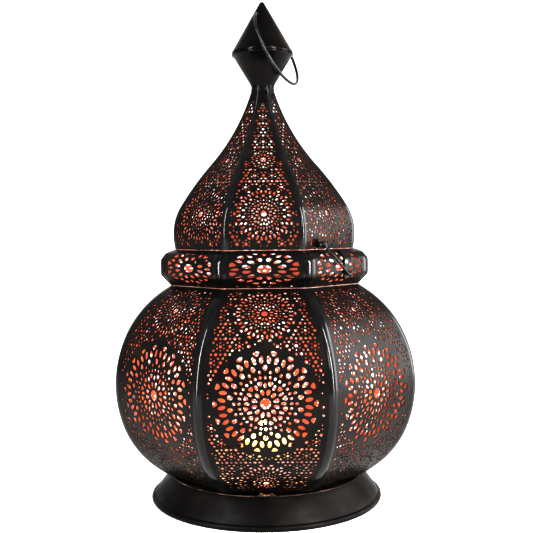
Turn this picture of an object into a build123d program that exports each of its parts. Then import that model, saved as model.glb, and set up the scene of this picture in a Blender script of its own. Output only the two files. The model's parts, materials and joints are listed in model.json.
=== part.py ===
"""An eight-sided pierced-metal lantern with a hinged dome lid, a ring handle, a hook latch and a tealight.

Millimetres, +Z up, origin at the middle of the foot's underside. Facet 1 faces -Y, and the facets are
numbered anticlockwise seen from above, towards +X. A facet is drawn facing +X and then turned into place.
"""

from build123d import *
from math import cos, radians, sin, sqrt
import os

# ---- Driving dimensions ----
sides = 8
sheet = 0.8
overall_height = 360.0

rim_radius = 84.3
hem_radius = 2.1
hem_centre_height = 1.9
foot_top_radius = 71.0
foot_flange_inner_radius = 52.0
body_bottom = 20.0

body_bottom_apothem = 64.0
belly_apothem = 103.6
belly_height = 88.8
belly_arc_half_height = 30.7
belly_arc_inset = 5.6
body_top = 157.3
body_top_apothem = 65.7

collar_apothem = 72.5
collar_face_low = 165.0
collar_face_high = 175.5
collar_shoulder = (69.0, 180.0)
collar_top = 182.5
collar_top_apothem = 62.5

lid_gap = 0.3
dome_shoulder_apothem = 63.6
dome_shoulder_height = 193.8
dome_shoulder_end = (58.3, 212.9)
dome_slope_end = (37.5, 242.1)
neck_apothem = 8.0
neck_height = 296.0

finial_radius = 22.2
finial_rim_height = 322.6
finial_hem = 1.3
finial_tip_radius = 1.35
finial_neck_radius = 8.1

ring_radius = 28.2
ring_wire_radius = 1.05
ring_hole_radius = 1.8
ring_pivot_height = 350.7
ring_pivot_turn = 22.7
ring_hang_angle = 24.3
ring_pivot_half_span = 6.2

body_hole_radius = 3.6
collar_hole_radius = 4.7
dome_hole_radius = 2.0
body_hole_height = 88.5
collar_hole_height = 170.3
dome_hole_height = 206.9

candle_radius = 18.5
candle_height = 15.3
wick_radius = 0.75
wick_above_wax = 7.0
cup_plate_height = 26.0
cup_rim_height = 30.0

latch_facet = 2
hinge_facet = 6
hinge_axis_apothem = 66.2
hinge_axis_height = 183.6
knuckle_radius = 2.0
hinge_pin_radius = 1.0
running_gap = 0.05
hinge_half_length = 9.0
lid_knuckle_half_length = 2.9
part_gap = 0.3

latch_wire_radius = 0.8
latch_across = -11.0
latch_axis_apothem = 67.6
latch_axis_height = 185.8
hook_plane_apothem = 74.9
bracket_low = 184.0
bracket_high = 189.4
keeper_low = 162.8
keeper_half_width = 2.6
keeper_across = 6.0

# ---- Sizes that follow from them ----
dome_bottom = collar_top + lid_gap
lid_leaf_top = 195.0
floor_top = body_bottom + sheet
candle_bottom = cup_plate_height + sheet + 0.2
candle_top = candle_bottom + candle_height
half_facet = radians(180 / sides)
blank_half_width = 60.0
seam_half_width = 1.8
seam_height = 0.9
hidden_lap = 0.4

os.makedirs("parts", exist_ok=True)


def save(builder, label):
    """Label a finished piece and write it as its own node."""
    builder.part.label = label
    export_step(builder.part, f"parts/{label}.step")


def facet_angle(number):
    """Turn about Z that takes a piece facing +X to the given facet."""
    return -90 + (number - 1) * 360 / sides


def mitre_plane(side):
    """Plane through the lantern's axis and one corner of the facet that faces +X."""
    return Plane(origin=(0, 0, 0), z_dir=(-sin(half_facet), side * cos(half_facet), 0))


# ---- Side views of the facets: apothem against height, outside surface, from the bottom up ----
def body_outline():
    """A belly arc with a tangent arc above it and below it."""
    low = (belly_apothem - belly_arc_inset, belly_height - belly_arc_half_height)
    high = (belly_apothem - belly_arc_inset, belly_height + belly_arc_half_height)
    belly = ThreePointArc(low, (belly_apothem, belly_height), high)
    TangentArc(low, (body_bottom_apothem - 3, body_bottom - 1.6), tangent=(belly % 0) * -1)
    TangentArc(high, (body_top_apothem - 3, body_top + 1.7), tangent=belly % 1)


def collar_outline():
    """A C-shaped channel with a flat face and rounded shoulders."""
    FilletPolyline(
        (body_top_apothem - 2, body_top - 2.3),
        (collar_apothem, collar_face_low),
        (collar_apothem, collar_face_high),
        collar_shoulder,
        (collar_top_apothem, collar_top),
        radius=3.0,
    )


def dome_outline():
    """An ogee: an upright shoulder that rolls over, slopes in and sweeps up to the neck."""
    shoulder_foot = (dome_shoulder_apothem, dome_shoulder_height)
    shoulder = TangentArc(shoulder_foot, dome_shoulder_end, tangent=(0, 1))
    slope = TangentArc(dome_shoulder_end, dome_slope_end, tangent=shoulder % 1)
    TangentArc(dome_slope_end, (neck_apothem, neck_height + 1), tangent=slope % 1)
    TangentArc(shoulder_foot, (collar_top_apothem, dome_bottom - 1), tangent=(0, -1))


def facet_sheet(outline, thickness, side, low, high):
    """A mitred facet of sheet lying on one side of its outline, cut level at both ends."""
    with BuildPart() as blank:
        with BuildSketch(Plane.XZ):
            with BuildLine():
                outline()
                offset(amount=thickness, side=side)
            make_face()
        extrude(amount=blank_half_width, both=True)
        for mitre_side in (1, -1):
            split(bisect_by=mitre_plane(mitre_side), keep=Keep.BOTTOM)
        split(bisect_by=Plane.XY.offset(low), keep=Keep.TOP)
        split(bisect_by=Plane.XY.offset(high), keep=Keep.BOTTOM)
    return blank.part


def pierced_facet(outline, low, high, hole_radius, hole_height):
    """A facet of the lantern's skin with the round hole at the heart of its rosette."""
    with BuildPart() as facet:
        add(facet_sheet(outline, sheet, Side.LEFT, low, high))
        with Locations(Plane(origin=(0, 0, hole_height), z_dir=(1, 0, 0))):
            Cylinder(hole_radius, 150, align=(Align.CENTER, Align.CENTER, Align.MIN), mode=Mode.SUBTRACT)
    return facet.part


def save_ring_of_facets(facet, name):
    """Write one copy of a facet for each side of the lantern."""
    for number in range(1, sides + 1):
        with BuildPart() as placed:
            add(facet, rotation=(0, 0, facet_angle(number)))
        save(placed, f"{name}_{number}")


def save_seams(outline, low, high, name):
    """Write the eight folded strips that cover the joints between neighbouring facets."""
    corner = mitre_plane(1)
    with BuildPart() as strip:
        add(facet_sheet(outline, seam_height, Side.RIGHT, low, high))
        split(bisect_by=corner.offset(-seam_half_width), keep=Keep.TOP)
        mirror(about=corner)
    with BuildPart() as seams:
        for number in range(1, sides + 1):
            add(strip.part, rotation=(0, 0, facet_angle(number)))
    save(seams, name)


# ---- Skin of the body, the collar and the dome ----
body_facet = pierced_facet(body_outline, body_bottom, body_top, body_hole_radius, body_hole_height)
save_ring_of_facets(body_facet, "body_panel")
save_seams(body_outline, body_bottom, body_top, "body_seams")

collar_facet = pierced_facet(
    collar_outline, body_top, collar_top, collar_hole_radius, collar_hole_height
)
save_ring_of_facets(collar_facet, "collar_panel")
save_seams(collar_outline, body_top, collar_top, "collar_seams")

dome_facet = pierced_facet(dome_outline, dome_bottom, neck_height, dome_hole_radius, dome_hole_height)
save_ring_of_facets(dome_facet, "dome_panel")
save_seams(dome_outline, dome_bottom, neck_height, "dome_seams")

# ---- Foot: a flared sheet with a hem rolled round a wire ----
hem_centre = (rim_radius - hem_radius, hem_centre_height)
with BuildPart() as base_foot:
    with BuildSketch(Plane.XZ):
        with BuildLine():
            Polyline(
                (foot_top_radius - sheet, body_bottom),
                (foot_top_radius, body_bottom),
                (hem_centre[0] + 0.7, 3.6),
                (hem_centre[0] - 0.6, 3.3),
                (foot_top_radius - sheet, body_bottom - sheet),
                close=True,
            )
        make_face()
        with Locations(hem_centre):
            Circle(hem_radius)
            Circle(hem_radius - sheet, mode=Mode.SUBTRACT)
    revolve(axis=Axis.Z)
    split(bisect_by=Plane.XY, keep=Keep.TOP)
save(base_foot, "base_foot")

with BuildPart() as foot_plate:
    with BuildSketch(Plane.XY.offset(body_bottom - sheet)):
        Circle(foot_top_radius - sheet)
        Circle(foot_flange_inner_radius, mode=Mode.SUBTRACT)
    extrude(amount=sheet)
save(foot_plate, "foot_plate")

with BuildPart() as rim_wire:
    with Locations((0, 0, hem_centre_height)):
        Torus(hem_centre[0], hem_radius - sheet - 0.1)
save(rim_wire, "rim_wire")

with BuildPart() as floor_plate:
    with Locations((0, 0, body_bottom)):
        Cylinder(60, sheet, align=(Align.CENTER, Align.CENTER, Align.MIN))
save(floor_plate, "floor_plate")

# ---- Candle seat and tealight ----
seat_outer = candle_radius + 2.0
seat_inner = seat_outer - sheet
with BuildPart() as candle_cup:
    with BuildSketch(Plane.XZ):
        with BuildLine():
            Polyline(
                (seat_inner, floor_top),
                (seat_outer + 4, floor_top),
                (seat_outer + 4, floor_top + sheet),
                (seat_outer, floor_top + sheet),
                (seat_outer, cup_rim_height),
                (seat_inner, cup_rim_height),
                (seat_inner, cup_plate_height + sheet),
                (0, cup_plate_height + sheet),
                (0, cup_plate_height),
                (seat_inner, cup_plate_height),
                close=True,
            )
        make_face()
    revolve(axis=Axis.Z)
save(candle_cup, "candle_cup")

tab_radius = 7.5
tab_thickness = 0.4
with BuildPart() as tealight_wax:
    with Locations((0, 0, candle_bottom)):
        Cylinder(candle_radius, candle_height, align=(Align.CENTER, Align.CENTER, Align.MIN))
    fillet(tealight_wax.edges().filter_by(GeomType.CIRCLE).sort_by(Axis.Z)[-1], 1.0)
    with Locations((0, 0, candle_bottom)):
        Cylinder(
            tab_radius + running_gap,
            tab_thickness + running_gap,
            align=(Align.CENTER, Align.CENTER, Align.MIN),
            mode=Mode.SUBTRACT,
        )
        Cylinder(
            wick_radius + running_gap,
            candle_height,
            align=(Align.CENTER, Align.CENTER, Align.MIN),
            mode=Mode.SUBTRACT,
        )
save(tealight_wax, "tealight_wax")

with BuildPart() as wick_tab:
    with Locations((0, 0, candle_bottom)):
        Cylinder(tab_radius, tab_thickness, align=(Align.CENTER, Align.CENTER, Align.MIN))
save(wick_tab, "wick_tab")

with BuildPart() as tealight_wick:
    with Locations((0, 0, candle_bottom + tab_thickness)):
        Cylinder(
            wick_radius,
            candle_height + wick_above_wax - tab_thickness,
            align=(Align.CENTER, Align.CENTER, Align.MIN),
        )
save(tealight_wick, "tealight_wick")

# ---- Stiffening band inside the lid's lower edge ----
band_outer = collar_top_apothem - sheet - 0.1
with BuildPart() as lid_rim_band:
    with BuildSketch(Plane.XY.offset(dome_bottom)):
        RegularPolygon(band_outer, sides, major_radius=False, rotation=180 / sides)
        RegularPolygon(
            band_outer - sheet, sides, major_radius=False, rotation=180 / sides, mode=Mode.SUBTRACT
        )
    extrude(amount=7.0)
save(lid_rim_band, "lid_rim_band")

# ---- Neck plug and the two cones of the finial ----
with BuildPart() as neck_plug:
    with BuildSketch(Plane.XZ):
        with BuildLine():
            Polyline(
                (0, neck_height - 9),
                (neck_apothem - 1.1, neck_height - 9),
                (neck_apothem - 1.1, neck_height),
                (finial_neck_radius + 0.3, neck_height),
                (finial_neck_radius + 0.3, neck_height + 1.5),
                (0, neck_height + 1.5),
                close=True,
            )
        make_face()
    revolve(axis=Axis.Z)
save(neck_plug, "neck_plug")

cone_bottom = neck_height + 1.5
with BuildPart() as finial_lower_cone:
    with BuildSketch(Plane.XZ):
        with BuildLine():
            Polyline(
                (finial_neck_radius - 1.3, cone_bottom),
                (finial_neck_radius, cone_bottom),
                (finial_neck_radius + 0.3, cone_bottom + 2.0),
                (finial_radius, finial_rim_height),
                (finial_radius - 1.6, finial_rim_height),
                (finial_neck_radius - 1.0, cone_bottom + 2.4),
                close=True,
            )
        make_face()
    revolve(axis=Axis.Z)
save(finial_lower_cone, "finial_lower_cone")

ring_axis = Vector(-sin(radians(ring_pivot_turn)), -cos(radians(ring_pivot_turn)), 0)
ring_pivot = Vector(0, 0, ring_pivot_height)
cone_foot = finial_rim_height + finial_hem
with BuildPart() as finial_upper_cone:
    with BuildSketch(Plane.XZ):
        with BuildLine():
            Polyline(
                (0, finial_rim_height),
                (finial_radius, finial_rim_height),
                (finial_radius, cone_foot),
                (finial_tip_radius, overall_height),
                (0, overall_height),
                close=True,
            )
        make_face()
    revolve(axis=Axis.Z)
    fillet(finial_upper_cone.edges().filter_by(GeomType.CIRCLE).sort_by(Axis.Z)[-1], 1.2)
    with BuildSketch(Plane.XZ):
        with BuildLine():
            Polyline(
                (0, finial_rim_height),
                (finial_radius - sheet, finial_rim_height),
                (finial_radius - sheet, cone_foot),
                (0, overall_height - 2.2),
                close=True,
            )
        make_face()
    revolve(axis=Axis.Z, mode=Mode.SUBTRACT)
    with Locations(Plane(origin=ring_pivot, z_dir=ring_axis)):
        Cylinder(ring_hole_radius, 40, mode=Mode.SUBTRACT)
save(finial_upper_cone, "finial_upper_cone")

# ---- Ring handle: a closed wire circle through the finial's two holes ----
ring_away = Vector(cos(radians(ring_pivot_turn)), -sin(radians(ring_pivot_turn)), 0)
hang = radians(ring_hang_angle)
ring_down = ring_away * sin(hang) + Vector(0, 0, -1) * cos(hang)
ring_drop = sqrt(ring_radius**2 - ring_pivot_half_span**2)
with BuildPart() as ring_handle:
    with Locations(Plane(origin=ring_pivot + ring_down * ring_drop, z_dir=ring_axis.cross(ring_down))):
        Torus(ring_radius, ring_wire_radius)
save(ring_handle, "ring_handle")

# ---- Hinge at the back: a leaf on the collar, a leaf on the lid and a pin ----
hinge_turn = (0, 0, facet_angle(hinge_facet))
strap_low = 166.0
plate_back = dome_shoulder_apothem - sheet + 0.15
lid_plate_face = dome_shoulder_apothem + 1.0
strap_face = collar_apothem + 1.0


def collar_strap(half_width, low, centre):
    """A strap that follows the collar's outside from its top shoulder down its face."""
    with BuildPart() as strap:
        with BuildSketch(Plane.XZ.offset(-centre)):
            with BuildLine():
                Polyline(
                    (collar_apothem - hidden_lap, low),
                    (strap_face, low),
                    (strap_face, collar_face_high + 0.7),
                    (collar_shoulder[0] + 0.9, collar_shoulder[1] + 0.7),
                    (collar_shoulder[0] - 0.8, collar_shoulder[1] + 2.0),
                    (collar_shoulder[0] - 1.6, collar_shoulder[1] + 0.1),
                    (collar_shoulder[0] - hidden_lap, collar_shoulder[1] - hidden_lap),
                    (collar_apothem - hidden_lap, collar_face_high - 0.1),
                    close=True,
                )
            make_face()
        extrude(amount=half_width, both=True)
        add(collar_facet, mode=Mode.SUBTRACT)
    return strap.part


def barrel(start, end, radius):
    """A round bar along the hinge axis, between two places across the facet."""
    with BuildPart() as bar:
        with Locations(Plane(origin=(hinge_axis_apothem, start, hinge_axis_height), z_dir=(0, 1, 0))):
            Cylinder(radius, end - start, align=(Align.CENTER, Align.CENTER, Align.MIN))
    return bar.part


def lid_plate(half_width, low, high, centre):
    """A small plate lying on the upright foot of the dome."""
    with BuildPart() as plate:
        with Locations((plate_back, centre, low)):
            Box(
                lid_plate_face - plate_back,
                2 * half_width,
                high - low,
                align=(Align.MIN, Align.CENTER, Align.MIN),
            )
        add(dome_facet, mode=Mode.SUBTRACT)
    return plate.part


knuckle_start = lid_knuckle_half_length + part_gap
with BuildPart() as collar_leaf_drawn:
    add(collar_strap(hinge_half_length, strap_low, 0))
    with BuildSketch(Plane.XZ):
        with BuildLine():
            Polyline(
                (hinge_axis_apothem, hinge_axis_height - knuckle_radius),
                (collar_shoulder[0] - 1.2, collar_shoulder[1] + 0.7),
                (collar_shoulder[0] + 0.2, collar_shoulder[1] + 1.3),
                (hinge_axis_apothem + knuckle_radius, hinge_axis_height),
                (hinge_axis_apothem, hinge_axis_height),
                close=True,
            )
        make_face()
    extrude(amount=hinge_half_length, both=True)
    add(barrel(-hinge_half_length, hinge_half_length, knuckle_radius))
    with Locations((hinge_axis_apothem, 0, hinge_axis_height)):
        Box(
            2 * knuckle_radius + 2 * part_gap,
            2 * knuckle_start,
            2 * knuckle_radius + 2 * part_gap,
            mode=Mode.SUBTRACT,
        )
    add(
        barrel(-hinge_half_length, hinge_half_length, hinge_pin_radius + running_gap),
        mode=Mode.SUBTRACT,
    )
with BuildPart() as hinge_collar_leaf:
    add(collar_leaf_drawn.part, rotation=hinge_turn)
save(hinge_collar_leaf, "hinge_collar_leaf")

lid_leaf_low = dome_bottom + 3.2
with BuildPart() as lid_leaf_drawn:
    add(lid_plate(hinge_half_length, lid_leaf_low, lid_leaf_top, 0))
    add(barrel(-lid_knuckle_half_length, lid_knuckle_half_length, knuckle_radius))
    with Locations((lid_plate_face - 0.9, 0, hinge_axis_height + 0.6)):
        Box(
            hinge_axis_apothem - lid_plate_face + 1.2,
            2 * lid_knuckle_half_length,
            lid_leaf_low - hinge_axis_height,
            align=(Align.MIN, Align.CENTER, Align.MIN),
        )
    add(
        barrel(-lid_knuckle_half_length, lid_knuckle_half_length, hinge_pin_radius + running_gap),
        mode=Mode.SUBTRACT,
    )
with BuildPart() as hinge_lid_leaf:
    add(lid_leaf_drawn.part, rotation=hinge_turn)
save(hinge_lid_leaf, "hinge_lid_leaf")

with BuildPart() as pin_drawn:
    add(barrel(-hinge_half_length - 0.2, hinge_half_length + 0.2, hinge_pin_radius))
    add(barrel(hinge_half_length + 0.2, hinge_half_length + 1.0, hinge_pin_radius + 0.6))
    add(barrel(-hinge_half_length - 1.0, -hinge_half_length - 0.2, hinge_pin_radius + 0.6))
with BuildPart() as hinge_pin:
    add(pin_drawn.part, rotation=hinge_turn)
save(hinge_pin, "hinge_pin")


def rivets(places, turn):
    """Domed rivets driven inwards at (apothem of the seat, place across the facet, height)."""
    with BuildPart() as drawn:
        for apothem, across, height in places:
            with Locations(Plane(origin=(apothem, across, height), z_dir=(1, 0, 0))):
                Cylinder(0.9, 2.6, align=(Align.CENTER, Align.CENTER, Align.MAX))
                Cylinder(1.6, 0.5, align=(Align.CENTER, Align.CENTER, Align.MIN))
            with Locations(Plane(origin=(apothem + 0.5, across, height), z_dir=(1, 0, 0))):
                Cone(1.6, 0.8, 0.5, align=(Align.CENTER, Align.CENTER, Align.MIN))
    with BuildPart() as turned:
        add(drawn.part, rotation=turn)
    return turned


hinge_rivet_across = 6.0
collar_rivet_height = 170.5
lid_rivet_height = 190.5
collar_places = [(strap_face, side * hinge_rivet_across, collar_rivet_height) for side in (-1, 1)]
lid_places = [(lid_plate_face, side * hinge_rivet_across, lid_rivet_height) for side in (-1, 1)]
save(rivets(collar_places, hinge_turn), "hinge_collar_rivets")
save(rivets(lid_places, hinge_turn), "hinge_lid_rivets")

# ---- Latch on the right front: a wire hook on the lid and a strap on the collar ----
latch_turn = (0, 0, facet_angle(latch_facet))
ear_reach = latch_wire_radius + 1.0
latch_pin_radius = 0.8
ear_inner = latch_wire_radius + part_gap + 0.3
ear_outer = ear_inner + 1.0


def latch_bar(start, end, radius):
    """A round bar along the latch's pivot axis, measured from the hook's middle."""
    origin = (latch_axis_apothem, latch_across + start, latch_axis_height)
    with BuildPart() as bar:
        with Locations(Plane(origin=origin, z_dir=(0, 1, 0))):
            Cylinder(radius, end - start, align=(Align.CENTER, Align.CENTER, Align.MIN))
    return bar.part


with BuildPart() as bracket_drawn:
    add(lid_plate(ear_outer, bracket_low, bracket_high, latch_across))
    for near, far in ((ear_inner, ear_outer), (-ear_outer, -ear_inner)):
        add(latch_bar(near, far, ear_reach))
        with Locations((lid_plate_face - 0.6, latch_across + (near + far) / 2, latch_axis_height)):
            Box(
                latch_axis_apothem - lid_plate_face + 0.6,
                far - near,
                2 * ear_reach,
                align=(Align.MIN, Align.CENTER, Align.CENTER),
            )
    add(latch_bar(-ear_outer, ear_outer, latch_pin_radius + running_gap), mode=Mode.SUBTRACT)
with BuildPart() as latch_bracket:
    add(bracket_drawn.part, rotation=latch_turn)
save(latch_bracket, "latch_bracket")

with BuildPart() as latch_pin:
    add(latch_bar(-ear_outer - 0.4, ear_outer + 0.4, latch_pin_radius), rotation=latch_turn)
save(latch_pin, "latch_pin")

loop_radius = latch_pin_radius + running_gap + latch_wire_radius
with BuildPart() as hook_drawn:
    loop_centre = (latch_axis_apothem, latch_across, latch_axis_height)
    with Locations(Plane(origin=loop_centre, z_dir=(0, 1, 0))):
        Torus(loop_radius, latch_wire_radius)
    with BuildLine():
        hook_path = FilletPolyline(
            (latch_axis_apothem + loop_radius, latch_across, latch_axis_height),
            (latch_axis_apothem + loop_radius + 0.8, latch_across, 183.4),
            (hook_plane_apothem, -9.0, 178.2),
            (hook_plane_apothem, 6.0, 165.4),
            (hook_plane_apothem, 8.8, 165.2),
            (hook_plane_apothem, 9.6, 167.4),
            radius=[2.0, 2.0, 1.0, 0.9],
        )
    with BuildSketch(Plane(origin=hook_path @ 0, z_dir=hook_path % 0)):
        Circle(latch_wire_radius)
    sweep()
with BuildPart() as latch_hook:
    add(hook_drawn.part, rotation=latch_turn)
save(latch_hook, "latch_hook")

with BuildPart() as latch_keeper:
    add(collar_strap(keeper_half_width, keeper_low, keeper_across), rotation=latch_turn)
save(latch_keeper, "latch_keeper")
save(rivets([(strap_face, 5.0, 173.6)], latch_turn), "latch_keeper_rivet")
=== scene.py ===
"""Looks of the eight-sided pierced lantern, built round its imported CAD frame.

Lengths are in millimetres until a mesh is made; the mesh is in metres. A facet is drawn facing +X:
u runs across it, v runs up it along the bent sheet, and (apothem, height) is its side view.
"""

import json
import math

import bmesh
import bpy
import numpy as np
from mathutils import Matrix, Vector
from mathutils.geometry import delaunay_2d_cdt


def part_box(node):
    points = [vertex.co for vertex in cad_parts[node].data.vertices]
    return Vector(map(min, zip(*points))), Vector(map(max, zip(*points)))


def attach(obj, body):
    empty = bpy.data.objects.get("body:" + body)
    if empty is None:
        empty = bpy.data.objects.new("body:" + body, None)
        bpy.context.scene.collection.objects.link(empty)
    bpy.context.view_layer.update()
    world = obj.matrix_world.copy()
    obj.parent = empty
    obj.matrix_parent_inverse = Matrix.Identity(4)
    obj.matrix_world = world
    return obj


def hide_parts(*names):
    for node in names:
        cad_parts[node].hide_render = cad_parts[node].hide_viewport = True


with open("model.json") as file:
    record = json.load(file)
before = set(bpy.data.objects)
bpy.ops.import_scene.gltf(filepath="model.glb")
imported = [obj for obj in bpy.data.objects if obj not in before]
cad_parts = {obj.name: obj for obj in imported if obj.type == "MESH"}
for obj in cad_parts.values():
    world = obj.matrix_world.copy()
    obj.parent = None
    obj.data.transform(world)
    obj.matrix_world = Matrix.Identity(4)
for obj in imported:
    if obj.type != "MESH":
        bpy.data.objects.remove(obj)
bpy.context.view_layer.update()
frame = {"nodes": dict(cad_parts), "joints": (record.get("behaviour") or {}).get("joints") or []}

MM = 0.001
SIDES = 8
HALF_FACET = math.radians(180 / SIDES)
SHEET = 0.5
CORNER_TRIM = 1.3  # how far a panel stops short of its corner, under the fold
NARROW_FACET = 11.0  # half width below which trims and folds shrink with the facet
SEGMENT = 1.2  # length of a mesh edge along a facet's side
HOLE_CLEARANCE = 0.4  # the mesh's own points keep this far from every hole


def cad_low(node):
    """Lowest corner of a CAD node in millimetres, to the tenth that the CAD is drawn in."""
    return [round(value / MM, 1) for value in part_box(node)[0]]


def cad_high(node):
    """Highest corner of a CAD node in millimetres, to the tenth that the CAD is drawn in."""
    return [round(value / MM, 1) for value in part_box(node)[1]]


# ---- Measures read from the frame; facet 1 faces -Y ----
BODY_BASE, COLLAR_BASE = cad_low("body_panel_1")[2], cad_high("body_panel_1")[2]
BELLY_APOTHEM = -cad_low("body_panel_1")[1]
COLLAR_APOTHEM, COLLAR_HEAD = -cad_low("collar_panel_1")[1], cad_high("collar_panel_1")[2]
DOME_BASE, DOME_HEAD = cad_low("dome_panel_1")[2], cad_high("dome_panel_1")[2]
DOME_APOTHEM = -cad_low("dome_panel_1")[1]
FOOT_EDGE, FOOT_TOP = cad_high("foot_plate")[0], cad_high("foot_plate")[2]
RIM_RADIUS = cad_high("base_foot")[0]
FINIAL_FOOT, FINIAL_RIM = cad_low("finial_lower_cone")[2], cad_high("finial_lower_cone")[2]
FINIAL_RADIUS, FINIAL_TOP = cad_high("finial_lower_cone")[0], cad_high("finial_upper_cone")[2]
CANDLE_BASE, CANDLE_TOP = cad_low("tealight_wax")[2], cad_high("tealight_wax")[2]
CANDLE_RADIUS = cad_high("tealight_wax")[0]

# ---- Side view of the lantern, as (apothem, height) ----
BODY_BOTTOM = (64.0, BODY_BASE)
BODY_TOP = (65.7, COLLAR_BASE)
BELLY = (BELLY_APOTHEM, BODY_BASE + 68.8)
BELLY_ARC = (BELLY_APOTHEM - 5.6, 30.7)  # apothem at the arc's ends, half its height
COLLAR_TOP = (COLLAR_APOTHEM - 10.0, COLLAR_HEAD)
COLLAR_FACE = (COLLAR_APOTHEM, COLLAR_BASE + 7.7, COLLAR_BASE + 18.2)  # apothem, two heights
COLLAR_SHOULDER = (COLLAR_APOTHEM - 3.5, COLLAR_HEAD - 2.5)
COLLAR_ROUNDING = 3.0
DOME_BOTTOM = (62.55, DOME_BASE)
DOME_SHOULDER = (DOME_APOTHEM, DOME_BASE + 11.0)
DOME_SHOULDER_END = (DOME_APOTHEM - 5.3, DOME_BASE + 30.1)
DOME_SLOPE_END = (DOME_APOTHEM - 26.1, DOME_BASE + 59.3)
NECK = (8.05, DOME_HEAD)

# ---- Heights of the rosettes' centres ----
BODY_ROSETTE = BODY_BASE + 68.5
BODY_TOP_ROSETTE = COLLAR_BASE - 14.6
BODY_LOW_ROSETTE = BODY_BASE + 11.4
COLLAR_ROSETTE = COLLAR_BASE + 13.0
DOME_ROSETTE = DOME_BASE + 24.1
DOME_TOP_ROSETTE = DOME_BASE + 61.5

# ---- Rosettes and lattice ----
SMALL_SCALE = 0.617
BIG_CLEARANCE, SMALL_CLEARANCE = 35.2, 21.6  # circles round the body's rosettes without lattice
DOME_CLEARANCE, DOME_TOP_CLEARANCE = 20.3, 9.4
DOME_DOT_FULLNESS = 1.13
COLLAR_STRETCH = 1.69
COLLAR_LOWER_SQUASH, COLLAR_UPPER_SQUASH = 0.86, 0.97
COLLAR_EYE = (6.0, 5.8)
COLLAR_BEAD, COLLAR_BEAD_PITCH = 1.5, 7.2
LATTICE_PITCH = 5.95
LATTICE_REACH = 12
FLOWER_RADIUS = 2.45
BIG_DOT, MIDDLE_DOT, LITTLE_DOT = 1.1, 0.84, 0.58

# ---- Folds over the corners ----
BODY_FOLD, COLLAR_FOLD, DOME_FOLD = 5.0, 9.0, 3.4
FOLD_LIFT, FOLD_SUNK = 0.06, 0.42
FOLD_BORDER = 1.2
FOLD_STEPS = 7
FOLD_SEGMENT = 1.5
FOLD_INNER_DEPTH = 0.3  # points deeper than this belong to the inner edge

# ---- Foot, finial and ring ----
FOOT_INNER_RADIUS, FOOT_TOP_RADIUS = 52.0, FOOT_EDGE - 0.6
FOOT_BEND = 0.8
HEM_RADIUS = 2.1
HEM_CENTRE = (RIM_RADIUS - HEM_RADIUS, 1.9)
SCRAPE_RADIUS, SCRAPE_HEIGHT, SCRAPE_WIDTH = FOOT_EDGE + 0.1, FOOT_TOP - 0.4, 0.68
TIP_CENTRE, TIP_RADIUS = (0, FINIAL_TOP - 2.1), 2.0
RING_HOLE_RADIUS = 1.8
RING_HANG = math.radians(24.3)
RING_RADIUS, RING_HALF_SPAN = 28.2, 6.2
RING_WIRE_RADIUS = 1.03
RING_WELD_SWELL, RING_WELD_ANGLE, RING_WELD_SPREAD = 0.22, 4.25, 0.03

# ---- Tealight ----
CANDLE_BOTTOM = CANDLE_BASE + 0.05
CANDLE_LIP = 1.1
FLAME_BASE, FLAME_HEIGHT, FLAME_RADIUS = CANDLE_TOP + 2.2, 14.5, 3.1
FLAME_SHIFT, FLAME_LEAN = 0.7, 0.16


# =====================================================================
# Outlines
# =====================================================================
def tangent_arc(start, end, direction, steps=40):
    """Points on the arc from start to end that leaves start along direction."""
    start = np.array(start, float)
    chord = np.array(end, float) - start
    heading = math.atan2(direction[1], direction[0])
    bearing = math.atan2(chord[1], chord[0])
    half_turn = (bearing - heading + math.pi) % (2 * math.pi) - math.pi
    if abs(half_turn) < 1e-6:
        return [start + chord * k / steps for k in range(steps + 1)]
    radius = np.linalg.norm(chord) / (2 * math.sin(half_turn))
    centre = start + radius * np.array([-math.sin(heading), math.cos(heading)])
    points = []
    for k in range(steps + 1):
        angle = heading + 2 * half_turn * k / steps
        points.append(centre + radius * np.array([math.sin(angle), -math.cos(angle)]))
    return points


def heading_at_end(points):
    """Direction in which a run of points ends."""
    step = points[-1] - points[-2]
    return step / np.linalg.norm(step)


def rounded_polyline(corners, radius, steps=8):
    """Straight runs joined by tangent arcs of one radius."""
    corners = [np.array(corner, float) for corner in corners]
    points = [corners[0]]
    for before, corner, after in zip(corners, corners[1:], corners[2:]):
        towards = (before - corner) / np.linalg.norm(before - corner)
        away = (after - corner) / np.linalg.norm(after - corner)
        turn = math.pi - math.acos(np.clip(towards @ away, -1, 1))
        cut = radius * math.tan(turn / 2)
        points += tangent_arc(corner + towards * cut, corner + away * cut, -towards, steps)
    return points + [corners[-1]]


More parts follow.
